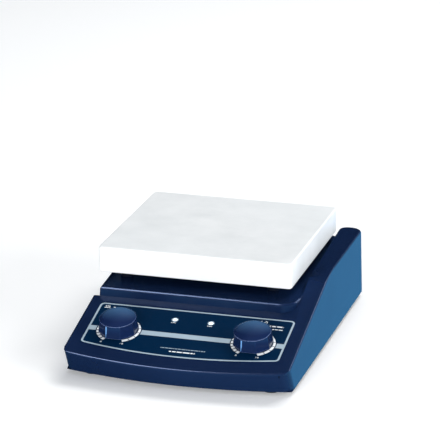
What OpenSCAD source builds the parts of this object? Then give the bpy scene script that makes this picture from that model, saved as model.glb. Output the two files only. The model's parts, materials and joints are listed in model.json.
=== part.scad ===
// Bench magnetic stirrer with a square ceramic hot plate.
// Origin: centre of the footprint, on the bench. +Z is up, -Y is the control panel.

/* [Housing] */
// Width of the housing at its lower edge
body_w = 203; // [199:0.5:207]
// Depth from the front lip to the back wall
body_l = 308; // [304:0.5:314]
// Height of the front lip above the housing's lower edge
lip_h = 18.8; // [17.5:0.1:20]
// Slope of the control panel in degrees
panel_slope = 13.8; // [13.2:0.1:14.4]
// Radius of the bowed front
bow_r = 416; // [380:1:460]
// How far the front leans out for each millimetre of height
front_lean = 0.61; // [0.5:0.01:0.7]
// How far each side wall leans in for each millimetre of height
side_draft = 0.035; // [0.02:0.005:0.04]
// Thickness of the moulded walls
wall = 2.8; // [2.6:0.1:3]
// Height of the deck under the plate above the lower edge
deck_h = 51.4; // [50.5:0.1:52]
// Height of the flat top of the right arm above the lower edge
arm_h = 60.5; // [59:0.1:62]

/* [Plate] */
// Side of the square ceramic plate
plate_w = 178; // [176:0.5:180]
// Thickness of the plate's block
plate_t = 23.4; // [23:0.1:24]
// Air gap between the deck and the plate
plate_gap = 8.2; // [7.8:0.1:8.6]
// Offset of the plate's centre to the left of the housing's centre
plate_off_x = 12.3; // [11.5:0.1:12.5]
// Distance from the housing's back wall to the plate's centre
plate_back = 102.4; // [101:0.1:103.5]

/* [Control panel] */
// Distance between the two knobs
knob_spacing = 121; // [119:0.5:123]
// Distance of the knobs behind the front lip, measured level
knob_setback = 50.1; // [49.5:0.1:51]
// Distance between the two lamps
lamp_spacing = 32.6; // [30:0.1:36]
// Distance from the knobs up the slope to the lamps
lamp_up = 24.4; // [23:0.1:26]
// Width of the printed panel
overlay_w = 178.6; // [176:0.1:179]
// How far all the controls sit to the left of the middle
panel_shift = 0.6; // [0:0.1:1.5]

/* [Knobs] */
// Corner radius of a knob's eight-sided skirt at the panel
knob_r = 17.8; // [17.2:0.1:18]
// Corner radius of the skirt at its top edge
knob_top_r = 16; // [15.8:0.1:16.2]
// Height of the skirt
knob_skirt_h = 12; // [11.6:0.1:12.2]
// Height of the domed cap
knob_dome_h = 5.8; // [5.4:0.1:6.2]

/* [Feet] */
// Height of the rubber feet
foot_h = 4; // [4:0.1:4.5]
// Radius of a foot
foot_r = 9; // [8:0.5:10]

/* [Hidden] */
$fn = 64;
eps = 0.01;
gap = 0.05;              // between pieces that touch inside one body
run = 0.05;              // radial clearance of a shaft in its bore
front_y = -body_l / 2;
back_y = body_l / 2;
lip_z = foot_h + lip_h;
deck_z = foot_h + deck_h;
arm_z = foot_h + arm_h;
rise = tan(panel_slope);
deck_y = front_y + 99.8; // front edge of the deck
shelf_z = foot_h + 26;   // lower shoulder along the left flank
deck_left = 94.4;        // the deck's left wall at its front
deck_flare = 3.4;        // and how far it widens towards the back
deck_right = 84;         // the deck's right wall
deck_corner = 14;        // radius of its right front corner
arm_in_front = 85;       // inner face of the arm at the deck's front
arm_in_back = 77;        // and at the back wall
plate_x = -plate_off_x;
plate_y = back_y - plate_back;
plate_z = deck_z + plate_gap;
plate_top = plate_z + plate_t;
plate_skin = 5;
plate_rim = 4;
ceiling = plate_top - plate_skin;
post_pitch = 136;
knob_y = front_y + knob_setback;
cover_t = 2.5;
cover_top = foot_h + cover_t;
overlay_t = 0.6;
knob_lift = 0.8;
corner_bosses = [[-84, -100], [84, -100], [-86, 60], [91, 60], [2, 142], [62, 142]];
foot_spots = [[-80, -118], [80, -118], [-78, 118], [78, 118]];
board_x = 31;
board_y = -34;
board_w = 52;
board_l = 140;
board_z = cover_top + 8;
inlet_x = -72;
rocker_x = -34;
pocket_depth = 6;
pocket_y = back_y - pocket_depth;
pocket_z = 12;
pocket_h = 32;
rocker_axis_y = pocket_y - 1;
rocker_axis_z = pocket_z + pocket_h / 2;
rocker_tilt = 11;
rod_x = 88;
rod_z = foot_h + 36;
bracket_z = 46;
motor_r = 26;
motor_z = 22;

// Height of the sloping panel at a distance y
function panel_z(y) = lip_z + rise * (y - front_y);

// A side profile of [y, z] points, extruded across the housing
module side(points) {
    rotate([90, 0, 90])
        linear_extrude(body_w + 60, center = true)
            polygon(points);
}

// Puts its children on the panel: x across, v up the slope, +Z out of the panel
module on_panel(x = 0, v = 0) {
    translate([x - panel_shift, knob_y, panel_z(knob_y)])
        rotate([panel_slope, 0, 0])
            translate([0, v, 0])
                children();
}

module at_spots(spots) {
    for (p = spots)
        translate([p[0], p[1], 0])
            children();
}

module on_plate_corners() {
    for (i = [-1, 1], j = [-1, 1])
        translate([plate_x + i * post_pitch / 2, plate_y + j * post_pitch / 2, 0])
            children();
}

module box_at(low, high) {
    translate(low)
        cube(high - low);
}

module rounded_slab(w, l, t, r) {
    linear_extrude(t) {
        square([w - 2 * r, l], center = true);
        square([w, l - 2 * r], center = true);
        for (i = [-1, 1], j = [-1, 1])
            translate([i * (w / 2 - r), j * (l / 2 - r)])
                circle(r);
    }
}

module tube(r_out, r_in, h) {
    difference() {
        cylinder(r = r_out, h = h);
        translate([0, 0, -1])
            cylinder(r = r_in, h = h + 2);
    }
}

// ---- housing ----

module side_draft_block(g) {
    top = 100;
    low_half = body_w / 2 - g + side_draft * foot_h;
    high_half = low_half - side_draft * top;
    translate([0, body_l, 0])
        rotate([90, 0, 0])
            linear_extrude(2 * body_l)
                polygon([[-low_half, 0], [low_half, 0], [high_half, top], [-high_half, top]]);
}

module bowed_front_block(g) {
    top = 100;
    translate([0, front_y + bow_r, 0])
        cylinder(h = top, r1 = bow_r - front_lean * lip_z - g,
            r2 = bow_r + front_lean * (top - lip_z) - g, $fn = 240);
}

module wedge(g, z0) {
    drop = g / cos(panel_slope);
    y1 = front_y - 20;
    y2 = deck_y - g;
    side([[y1, z0], [y1, panel_z(y1) - drop], [y2, panel_z(y2) - drop],
        [y2, shelf_z - g], [back_y - g, shelf_z - g], [back_y - g, z0]]);
}

module deck_block(g, z0) {
    left = -deck_left + g;
    right = deck_right - g;
    corner = deck_corner - g;
    link_y = deck_y + 35.5 + g / 2;
    translate([0, 0, z0])
        linear_extrude(deck_z - g - z0)
            polygon(concat(
                [[left, deck_y + g], [left - deck_flare * 0.85, deck_y + 45],
                    [left - deck_flare, back_y - g], [90, back_y - g], [90, link_y],
                    [right, link_y]],
                [for (a = [0:-10:-90])
                    [right - corner + corner * cos(a), deck_y + deck_corner + corner * sin(a)]]));
}

function arm_in(y) = arm_in_front
    + (arm_in_back - arm_in_front) * (y - deck_y) / (back_y - deck_y);

module arm(g, z0) {
    drop = g / cos(panel_slope);
    y1 = deck_y - 6;
    y2 = deck_y + 20 - g;
    flat_y = front_y + (arm_z - g + drop - lip_z) / rise;
    intersection() {
        side([[y1, z0], [y1, panel_z(y1) - drop], [flat_y, arm_z - g],
            [back_y - g, arm_z - g], [back_y - g, z0]]);
        linear_extrude(100)
            polygon([[60, y1], [60, y2], [arm_in(y2) + g, y2], [arm_in_back + g, back_y - g],
                [body_w, back_y - g], [body_w, y1]]);
    }
}

module envelope(g, z0) {
    intersection() {
        union() {
            wedge(g, z0);
            deck_block(g, z0);
            arm(g, z0);
        }
        side_draft_block(g);
        bowed_front_block(g);
    }
}

module cavity() {
    z0 = foot_h - 1;
    envelope(wall, z0);
    box_at([-deck_left + wall, deck_y - 6, z0],
        [61, deck_y + 6, panel_z(deck_y - 6) - wall - 0.4]);
}

// sides draw in a little towards the top
module overlay_outline(extra = 0) {
    half_w = overlay_w / 2 + extra;
    low_y = -(knob_setback - 18) / cos(panel_slope);
    intersection() {
        polygon([[-half_w, -40], [half_w, -40], [half_w - 1.5, 40.6 + extra],
            [1.5 - half_w, 40.6 + extra]]);
        translate([0, low_y + 404])
            circle(404 + extra, $fn = 240);
    }
}

module rear_pocket_block(g) {
    box_at([inlet_x - 18 - g, pocket_y - g, pocket_z - g],
        [rocker_x + 22 + g, back_y - (g > 0 ? eps : -1), pocket_z + pocket_h + g]);
}

module housing_shell() {
    color([0.07, 0.11, 0.25])
    difference() {
        union() {
            difference() {
                envelope(0, foot_h);
                cavity();
            }
            intersection() {
                envelope(wall / 2, foot_h);
                union() {
                    at_spots(corner_bosses)
                        translate([0, 0, cover_top + 2])
                            cylinder(r = 4.5, h = 60);
                    for (i = [-1, 1], j = [-1, 1])
                        translate([plate_x + i * 31, plate_y + j * 31, bracket_z + 5])
                            cylinder(r = 4, h = 12);
                    translate([rod_x, back_y - 20, rod_z])
                        rotate([-90, 0, 0])
                            cylinder(r = 9, h = 20);
                    for (x = [-72, 72])
                        on_panel(x, 28)
                            translate([0, 0, -10.8])
                                cylinder(r = 3, h = 10);
                    for (x = [-20, 20])
                        on_panel(x, -5)
                            translate([0, 0, -10.8])
                                cylinder(r = 3, h = 10);
                }
            }
            intersection() {
                envelope(0, foot_h);
                rear_pocket_block(wall);
            }
            translate([plate_x, plate_y, deck_z - eps])
                cylinder(r = 14, h = 2.6);
        }
        rear_pocket_block(0);
        // sockets, windows and screw holes
        on_panel()
            translate([0, 0, -overlay_t])
                linear_extrude(10)
                    overlay_outline(0.1);
        for (x = [-1, 1]) {
            on_panel(x * knob_spacing / 2)
                translate([0, 0, -20])
                    cylinder(r = 3.6, h = 30);
            on_panel(x * lamp_spacing / 2, lamp_up)
                translate([0, 0, -8])
                    cylinder(r = 2.15, h = 20);
        }
        for (x = [-72, 72])
            on_panel(x, 28)
                translate([0, 0, -11])
                    cylinder(r = 1.25, h = 7);
        for (x = [-20, 20])
            on_panel(x, -5)
                translate([0, 0, -11])
                    cylinder(r = 1.25, h = 7);
        at_spots(corner_bosses)
            translate([0, 0, foot_h])
                cylinder(r = 1.6, h = 20);
        for (i = [-1, 1], j = [-1, 1])
            translate([plate_x + i * 31, plate_y + j * 31, bracket_z])
                cylinder(r = 1.55, h = 8);
        translate([plate_x, plate_y, deck_z - 10])
            cylinder(r = 5, h = 20);
        on_plate_corners()
            translate([0, 0, deck_z - 10])
                cylinder(r = 2.6, h = 20);
        translate([rod_x, back_y - 17, rod_z])
            rotate([-90, 0, 0])
                cylinder(r = 7, h = 20);
        box_at([inlet_x - 13.2, pocket_y - 10, pocket_z + 1.8],
            [inlet_x + 13.2, back_y, pocket_z + 30.2]);
        box_at([rocker_x - 9.2, pocket_y - 10, pocket_z + 2.8],
            [rocker_x + 9.2, back_y, pocket_z + 29.2]);
        // cooling slots in the back wall
        for (i = [0:6])
            box_at([12 + 6 * i, back_y - 10, 18], [15 + 6 * i, back_y + 1, 42]);
    }
}

module base_cover() {
    color([0.10, 0.12, 0.17])
    difference() {
        union() {
            intersection() {
                envelope(wall + 0.2, foot_h);
                box_at([-150, -200, foot_h], [150, 200, cover_top]);
            }
            at_spots(corner_bosses)
                translate([0, 0, foot_h])
                    cylinder(r = 5.5, h = cover_t + 2 - gap);
            at_spots(foot_spots)
                translate([0, 0, foot_h])
                    cylinder(r = 5, h = cover_t + 5);
        }
        at_spots(corner_bosses) {
            translate([0, 0, foot_h - 1])
                cylinder(r = 3.5, h = 3.2);
            translate([0, 0, foot_h])
                cylinder(r = 1.9, h = 10);
        }
        at_spots(foot_spots)
            translate([0, 0, foot_h - 1])
                cylinder(r = 1.6, h = 7.5);
        // cooling slots under the motor and the power board
        for (i = [-4:4])
            box_at([plate_x - 30, plate_y - 1.5 + 8 * i, foot_h - 1],
                [plate_x + 30, plate_y + 1.5 + 8 * i, cover_top + 1]);
    }
}

module base_screws() {
    color([0.62, 0.64, 0.66])
    at_spots(corner_bosses)
        translate([0, 0, foot_h + 0.3]) {
            difference() {
                cylinder(r = 3.3, h = 1.85);
                translate([-0.4, -2, -1])
                    cube([0.8, 4, 1.9]);
                translate([-2, -0.4, -1])
                    cube([4, 0.8, 1.9]);
            }
            translate([0, 0, 1.8])
                cylinder(r = 1.55, h = 14);
        }
}

module rubber_feet() {
    color([0.05, 0.05, 0.055])
    at_spots(foot_spots)
        difference() {
            cylinder(r1 = foot_r - 1, r2 = foot_r, h = foot_h - gap / 2);
            translate([0, 0, -1])
                cylinder(r = 3.6, h = 3.2);
            cylinder(r = 1.8, h = 10);
        }
}

module foot_screws() {
    color([0.62, 0.64, 0.66])
    at_spots(foot_spots)
        translate([0, 0, 0.7]) {
            difference() {
                cylinder(r = 3.2, h = 1.45);
                translate([-0.4, -2, -1])
                    cube([0.8, 4, 1.7]);
            }
            translate([0, 0, 1.4])
                cylinder(r = 1.55, h = 7);
        }
}

// ---- control panel ----

module control_overlay() {
    color([0.02, 0.14, 0.25])
    on_panel()
        difference() {
            translate([0, 0, -overlay_t + eps])
                linear_extrude(overlay_t)
                    overlay_outline();
            for (x = [-1, 1]) {
                translate([x * knob_spacing / 2, 0, -2])
                    cylinder(r = 6.4, h = 4);
                translate([x * lamp_spacing / 2, lamp_up, -2])
                    cylinder(r = 2.15, h = 4);
            }
        }
}

module lamp_lenses() {
    color([0.85, 0.93, 1.0])
    for (x = [-1, 1])
        on_panel(x * lamp_spacing / 2, lamp_up) {
            translate([0, 0, -wall])
                cylinder(r = 2.1, h = wall);
            intersection() {
                translate([0, 0, -2.3])
                    sphere(3.1);
                translate([0, 0, -eps])
                    cylinder(r = 3, h = 2);
            }
        }
}

module lamp_diodes() {
    color([0.75, 0.80, 0.86])
    for (x = [-1, 1])
        on_panel(x * lamp_spacing / 2, lamp_up) {
            translate([0, 0, -9.6])
                cylinder(r = 2.5, h = 6.3);
            translate([0, 0, -10.7])
                cylinder(r = 2.9, h = 1.15);
        }
}

module control_board() {
    color([0.08, 0.32, 0.16])
    on_panel()
        difference() {
            translate([-76, -10, -12.4])
                cube([152, 43, 1.6]);
            for (x = [-72, 72])
                translate([x, 28, -13])
                    cylinder(r = 1.5, h = 4);
            for (x = [-20, 20])
                translate([x, -5, -13])
                    cylinder(r = 1.5, h = 4);
        }
}

module panel_screw() {
    translate([0, 0, -14.2])
        cylinder(r = 2.4, h = 1.75);
    translate([0, 0, -12.5])
        cylinder(r = 1.2, h = 7);
}

module control_board_screws() {
    color([0.70, 0.71, 0.72]) {
        for (x = [-72, 72])
            on_panel(x, 28)
                panel_screw();
        for (x = [-20, 20])
            on_panel(x, -5)
                panel_screw();
    }
}

// A rotary control: case, threaded bush and bore for its shaft
module pot() {
    difference() {
        union() {
            translate([0, 0, -wall - 7.2])
                cylinder(r = 8.2, h = 7);
            translate([0, 0, -wall - 0.3])
                cylinder(r = 3.5, h = wall + 2.3);
            translate([-5, -9.6, -wall - 7.2])
                cube([10, 6, 1.6]);
        }
        translate([0, 0, -wall - 6])
            cylinder(r = 3 + run, h = 12);
    }
}

module pot_heat() {
    color([0.45, 0.46, 0.48])
    on_panel(-knob_spacing / 2)
        pot();
}

module pot_speed() {
    color([0.45, 0.46, 0.48])
    on_panel(knob_spacing / 2)
        pot();
}

module pot_nuts() {
    color([0.72, 0.73, 0.74])
    for (x = [-1, 1])
        on_panel(x * knob_spacing / 2)
            translate([0, 0, -overlay_t + gap])
                difference() {
                    cylinder(r = 5.7, h = 2.2, $fn = 6);
                    translate([0, 0, -1])
                        cylinder(r = 3.5 + gap, h = 5);
                }
}

// ---- knobs ----

module knob_skirt() {
    translate([0, 0, knob_lift])
        rotate([0, 0, 22.5])
            cylinder(r1 = knob_r, r2 = knob_top_r, h = knob_skirt_h, $fn = 8);
}

// round cap that grips the skirt's top, with a low rim under its dome
module knob_cap() {
    cap_r = knob_top_r + 0.2;
    rim_h = 0.6;
    ball_r = (pow(cap_r, 2) + pow(knob_dome_h, 2)) / (2 * knob_dome_h);
    translate([0, 0, knob_lift + knob_skirt_h - rim_h / 2])
        intersection() {
            translate([0, 0, rim_h + knob_dome_h - ball_r])
                sphere(ball_r, $fn = 96);
            cylinder(r = cap_r, h = rim_h + knob_dome_h + 1);
        }
}

// bar let into the skirt's front left corner
module pointer_bar(g = 0) {
    rotate([0, 0, 157.5])
        translate([-0.7 - g, 15 - g, knob_lift + 0.9 - g])
            cube([1.4 + 2 * g, 3, knob_skirt_h - 1.8 + 2 * g]);
}

module knob() {
    difference() {
        union() {
            knob_skirt();
            knob_cap();
        }
        difference() {
            translate([0, 0, knob_lift - 1])
                cylinder(r = 12, h = 7.5);
            translate([0, 0, knob_lift + 1.8])
                cylinder(r = 6.2, h = 8);
        }
        cylinder(r = 4.5, h = 12);
        pointer_bar(0.05);
    }
}

module pointer() {
    intersection() {
        pointer_bar();
        knob_skirt();
    }
}

module knob_insert() {
    translate([0, 0, knob_lift + 1.9])
        tube(4.5 - gap, 3, 9.2);
}

module pot_shaft() {
    translate([0, 0, -wall - 5.6])
        cylinder(r = 3 - eps, h = wall + 5.6 + 11.3);
}

module knob_heat() {
    color([0.12, 0.14, 0.34])
    on_panel(-knob_spacing / 2)
        knob();
}

module knob_heat_insert() {
    color([0.72, 0.58, 0.30])
    on_panel(-knob_spacing / 2)
        knob_insert();
}

module knob_heat_pointer() {
    color([0.93, 0.94, 0.95])
    on_panel(-knob_spacing / 2)
        pointer();
}

module heat_shaft() {
    color([0.75, 0.75, 0.76])
    on_panel(-knob_spacing / 2)
        pot_shaft();
}

module knob_speed() {
    color([0.12, 0.14, 0.34])
    on_panel(knob_spacing / 2)
        knob();
}

module knob_speed_insert() {
    color([0.72, 0.58, 0.30])
    on_panel(knob_spacing / 2)
        knob_insert();
}

module knob_speed_pointer() {
    color([0.93, 0.94, 0.95])
    on_panel(knob_spacing / 2)
        pointer();
}

module speed_shaft() {
    color([0.75, 0.75, 0.76])
    on_panel(knob_spacing / 2)
        pot_shaft();
}

// ---- hot plate ----

module at_plate(z) {
    translate([plate_x, plate_y, z])
        children();
}

module top_plate() {
    inner = plate_w - 2 * plate_rim;
    color([0.93, 0.95, 0.95])
    difference() {
        union() {
            at_plate(plate_z)
                difference() {
                    rounded_slab(plate_w, plate_w, plate_t, 4);
                    translate([0, 0, -1])
                        rounded_slab(inner, inner, plate_t - plate_skin + 1, 2);
                }
            on_plate_corners()
                translate([0, 0, plate_z + 1.5])
                    cylinder(r = 6, h = plate_t - plate_skin);
        }
        on_plate_corners()
            translate([0, 0, plate_z])
                cylinder(r = 2.5 + gap, h = 14);
    }
}

module heater_element() {
    color([0.75, 0.70, 0.58])
    at_plate(ceiling - 3.5)
        tube(73, 22, 3.5 - gap);
}

module heater_clamp() {
    color([0.66, 0.67, 0.68])
    at_plate(ceiling - 5)
        tube(74, 18, 1.5 - gap);
}

module insulation_ring() {
    color([0.86, 0.84, 0.78])
    at_plate(plate_z + 1.5)
        tube(74, 47, ceiling - 5 - gap - plate_z - 1.5);
}

module plate_tray() {
    inner = plate_w - 2 * plate_rim - 0.6;
    color([0.60, 0.61, 0.62])
    difference() {
        at_plate(plate_z)
            rounded_slab(inner, inner, 1.4, 2);
        at_plate(plate_z - 1)
            cylinder(r = 47, h = 4);
        on_plate_corners()
            translate([0, 0, plate_z - 1])
                cylinder(r = 2.6, h = 4);
    }
}

module temperature_probe() {
    color([0.70, 0.71, 0.73])
    translate([plate_x - 16, plate_y + 79.6, ceiling - 2.6])
        rotate([0, 90, 0])
            cylinder(r = 2.5, h = 32);
}

module plate_posts() {
    color([0.06, 0.07, 0.10])
    on_plate_corners() {
        translate([0, 0, deck_z + gap])
            cylinder(r = 5.5, h = plate_gap - 2 * gap);
        translate([0, 0, deck_z - 9])
            cylinder(r = 2.5, h = plate_gap + 9 + 12);
    }
}

module post_nuts() {
    color([0.72, 0.73, 0.74])
    on_plate_corners()
        translate([0, 0, deck_z - wall - 4.1])
            difference() {
                cylinder(r = 4.6, h = 4, $fn = 6);
                translate([0, 0, -1])
                    cylinder(r = 2.5 + gap, h = 6);
            }
}

// ---- drive ----

module at_bracket_corners(z) {
    for (i = [-1, 1], j = [-1, 1])
        translate([plate_x + i * 31, plate_y + j * 31, z])
            children();
}

module motor_bracket() {
    color([0.64, 0.65, 0.67])
    difference() {
        at_plate(bracket_z + 1.6)
            rounded_slab(74, 74, 1.8, 6);
        at_plate(bracket_z)
            cylinder(r = 12, h = 5);
        at_bracket_corners(bracket_z)
            cylinder(r = 3.1, h = 5);
    }
}

module bracket_grommets() {
    color([0.06, 0.06, 0.065])
    at_bracket_corners(bracket_z + 0.2)
        difference() {
            union() {
                cylinder(r = 4.8, h = 1.35);
                cylinder(r = 3.05, h = 4.7);
                translate([0, 0, 3.25])
                    cylinder(r = 4.8, h = 1.45);
            }
            translate([0, 0, -1])
                cylinder(r = 1.6, h = 8);
        }
}

module bracket_screws() {
    color([0.70, 0.71, 0.72])
    at_bracket_corners(bracket_z - 1.7) {
        cylinder(r = 3.2, h = 1.85);
        translate([0, 0, 1.8])
            cylinder(r = 1.5, h = 7.5);
    }
}

module motor_can() {
    color([0.55, 0.56, 0.58])
    at_plate(motor_z)
        difference() {
            union() {
                cylinder(r = motor_r, h = bracket_z - motor_z + 1.5);
                cylinder(r = 11.9, h = bracket_z - motor_z + 2.6);
                translate([0, 0, -3.5])
                    cylinder(r = 10, h = 4);
            }
            translate([0, 0, 2])
                cylinder(r = motor_r - 1.5, h = bracket_z - motor_z - 2.5);
            translate([0, 0, -10])
                cylinder(r = 4, h = 60);
            translate([0, 0, -2.5])
                cylinder(r = 8 + gap, h = 6);
            translate([0, 0, bracket_z - motor_z - 1])
                cylinder(r = 8 + gap, h = 2.8);
        }
}

module motor_stator() {
    color([0.72, 0.42, 0.20])
    at_plate(motor_z + 5)
        difference() {
            cylinder(r = motor_r - 1.6, h = 15);
            translate([0, 0, -1])
                cylinder(r = 17.5, h = 20);
            for (a = [0:30:330])
                rotate([0, 0, a])
                    translate([20.5, 0, -1])
                        cylinder(r = 1.6, h = 20);
        }
}

module motor_bearings() {
    color([0.78, 0.79, 0.80]) {
        at_plate(motor_z - 2.45)
            tube(8, 3 + run, 4.4);
        at_plate(bracket_z - 2.6)
            tube(8, 3 + run, 4.3);
    }
}

module motor_shaft() {
    color([0.80, 0.81, 0.82])
    at_plate(motor_z - 8)
        cylinder(r = 3, h = plate_z - motor_z + 15);
}

module motor_rotor() {
    color([0.30, 0.31, 0.33])
    at_plate(motor_z + 5)
        tube(16.5, 3 + eps, 15);
}

module magnet_carrier() {
    color([0.66, 0.67, 0.69])
    difference() {
        union() {
            at_plate(plate_z + 2.4)
                cylinder(r = 42, h = 3);
            at_plate(plate_z - 3.6)
                cylinder(r = 7, h = 7);
        }
        at_plate(plate_z - 5)
            cylinder(r = 3 + eps, h = 20);
        translate([plate_x, plate_y, plate_z - 0.6])
            rotate([0, 90, 0])
                cylinder(r = 1.5 + gap, h = 10);
    }
}

module drive_magnets() {
    color([0.42, 0.43, 0.45])
    for (s = [-1, 1])
        translate([plate_x + s * 28, plate_y, plate_z + 5.4 + gap])
            cylinder(r = 9, h = 6.6);
}

module carrier_screw() {
    color([0.20, 0.20, 0.21])
    translate([plate_x + 3.2, plate_y, plate_z - 0.6])
        rotate([0, 90, 0])
            cylinder(r = 1.5, h = 3.7);
}

// ---- power supply ----

module power_board() {
    color([0.08, 0.32, 0.16])
    difference() {
        box_at([board_x, board_y, board_z], [board_x + board_w, board_y + board_l, board_z + 1.6]);
        for (x = [4, board_w - 4], y = [4, board_l - 4])
            translate([board_x + x, board_y + y, board_z - 1])
                cylinder(r = 1.7, h = 4);
    }
}

module board_standoffs() {
    color([0.86, 0.86, 0.82])
    for (x = [4, board_w - 4], y = [4, board_l - 4])
        translate([board_x + x, board_y + y, cover_top + gap]) {
            cylinder(r = 3, h = board_z - cover_top - 2 * gap);
            cylinder(r = 1.6, h = board_z - cover_top + 3);
        }
}

module transformer() {
    color([0.80, 0.62, 0.20])
    translate([board_x + 9, board_y + 86, board_z + 1.65]) {
        cube([34, 40, 10]);
        translate([4, 0, 10])
            cube([26, 40, 14]);
        translate([0, 0, 24])
            cube([34, 40, 4]);
    }
}

module heat_sink() {
    color([0.30, 0.31, 0.32])
    translate([board_x + 6, board_y + 46, board_z + 1.65]) {
        cube([3, 34, 22]);
        for (i = [0:5])
            translate([2.9, 1 + 6 * i, 0])
                cube([9, 2, 22]);
    }
}

module triac() {
    color([0.12, 0.12, 0.13])
    translate([board_x + 1.4, board_y + 58, board_z + 5]) {
        cube([4.5, 10, 9]);
        translate([3.2, 0, 9])
            cube([1.3, 10, 6]);
    }
}

module capacitors() {
    color([0.15, 0.22, 0.42])
    for (p = [[34, 56, 6], [36, 73, 5], [20, 26, 5]])
        translate([board_x + p[0], board_y + p[1], board_z + 1.65])
            cylinder(r = p[2], h = 12 + p[2]);
}

module terminal_block() {
    color([0.20, 0.42, 0.28])
    translate([board_x + 12, board_y + 3, board_z + 1.65])
        difference() {
            cube([30, 9, 11]);
            for (i = [0:4])
                translate([3 + 6 * i, 4.5, 5])
                    cylinder(r = 1.6, h = 8);
        }
}

module power_inlet() {
    color([0.06, 0.06, 0.065])
    difference() {
        union() {
            box_at([inlet_x - 14.5, pocket_y + gap, pocket_z + 0.6],
                [inlet_x + 14.5, pocket_y + 2.5, pocket_z + 31.4]);
            box_at([inlet_x - 13, pocket_y - 20, pocket_z + 2],
                [inlet_x + 13, pocket_y + 1, pocket_z + 30]);
        }
        // socket
        box_at([inlet_x - 12, pocket_y - 14, pocket_z + 13],
            [inlet_x + 12, pocket_y + 5, pocket_z + 29.2]);
        // fuse slot
        box_at([inlet_x - 11, pocket_y - 16, pocket_z + 3],
            [inlet_x + 11, pocket_y + 5, pocket_z + 11.4]);
        for (p = [[-7, 20.2], [7, 20.2], [0, 24.4]])
            box_at([inlet_x + p[0] - 1.05, pocket_y - 25, pocket_z + p[1] - 2.05],
                [inlet_x + p[0] + 1.05, pocket_y - 10, pocket_z + p[1] + 2.05]);
    }
}

module inlet_pins() {
    color([0.80, 0.78, 0.70])
    for (p = [[-7, 20.2], [7, 20.2], [0, 24.4]])
        box_at([inlet_x + p[0] - 1, pocket_y - 25, pocket_z + p[1] - 2],
            [inlet_x + p[0] + 1, pocket_y - 1, pocket_z + p[1] + 2]);
}

module fuse_drawer() {
    color([0.10, 0.10, 0.11])
    difference() {
        union() {
            box_at([inlet_x - 10.7, pocket_y - 15, pocket_z + 3.3],
                [inlet_x + 10.7, pocket_y + 3, pocket_z + 11.1]);
            box_at([inlet_x - 4, pocket_y + 2.5, pocket_z + 9.4],
                [inlet_x + 4, pocket_y + 4, pocket_z + 11.1]);
        }
        box_at([inlet_x - 10.2, pocket_y - 12, pocket_z + 4.6],
            [inlet_x + 10.2, pocket_y - 6, pocket_z + 12]);
    }
}

module fuse() {
    color([0.85, 0.87, 0.88])
    translate([inlet_x - 10, pocket_y - 9, pocket_z + 7.3])
        rotate([0, 90, 0])
            cylinder(r = 2.6, h = 20);
}

module rocker_frame() {
    color([0.06, 0.06, 0.065])
    difference() {
        union() {
            box_at([rocker_x - 10.6, pocket_y + gap, pocket_z + 1],
                [rocker_x + 10.6, pocket_y + 2, pocket_z + 31]);
            box_at([rocker_x - 9, pocket_y - 18, pocket_z + 3],
                [rocker_x + 9, pocket_y + 1, pocket_z + 29]);
        }
        box_at([rocker_x - 7.6, pocket_y - 12, rocker_axis_z - 12],
            [rocker_x + 7.6, pocket_y + 5, rocker_axis_z + 12]);
        translate([rocker_x - 8.6, rocker_axis_y, rocker_axis_z])
            rotate([0, 90, 0])
                cylinder(r = 1.5 + run, h = 17.2);
    }
}

// Two-faced rocker, tilted to its off position
module power_rocker() {
    color([0.16, 0.02, 0.02])
    translate([rocker_x, rocker_axis_y, rocker_axis_z])
        rotate([-rocker_tilt, 0, 0]) {
            intersection() {
                rotate([90, 0, 90])
                    linear_extrude(14.6, center = true)
                        polygon([[-4, -12], [2.7, -12], [5, 0], [2.7, 12], [-4, 12]]);
                rotate([0, 90, 0])
                    cylinder(r = 11.6, h = 30, center = true);
            }
            rotate([0, 90, 0])
                cylinder(r = 1.5, h = 16.8, center = true);
        }
}

module rod_insert() {
    color([0.74, 0.60, 0.32])
    translate([rod_x, back_y - 16.6, rod_z])
        rotate([-90, 0, 0])
            tube(7 - gap, 4.2, 16.4);
}

housing_shell();
base_cover();
base_screws();
rubber_feet();
foot_screws();
control_overlay();
lamp_lenses();
lamp_diodes();
control_board();
control_board_screws();
pot_heat();
pot_speed();
pot_nuts();
knob_heat();
knob_heat_insert();
knob_heat_pointer();
heat_shaft();
knob_speed();
knob_speed_insert();
knob_speed_pointer();
speed_shaft();
top_plate();
heater_element();
heater_clamp();
insulation_ring();
plate_tray();
temperature_probe();
plate_posts();
post_nuts();
motor_bracket();
bracket_grommets();
bracket_screws();
motor_can();
motor_stator();
motor_bearings();
motor_shaft();
motor_rotor();
magnet_carrier();
drive_magnets();
carrier_screw();
power_board();
board_standoffs();
transformer();
heat_sink();
triac();
capacitors();
terminal_block();
power_inlet();
inlet_pins();
fuse_drawer();
fuse();
rocker_frame();
power_rocker();
rod_insert();
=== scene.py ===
import json
import math

import bmesh
import bpy
from bpy.props import FloatProperty, FloatVectorProperty, PointerProperty
from mathutils import Matrix, Vector

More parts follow.
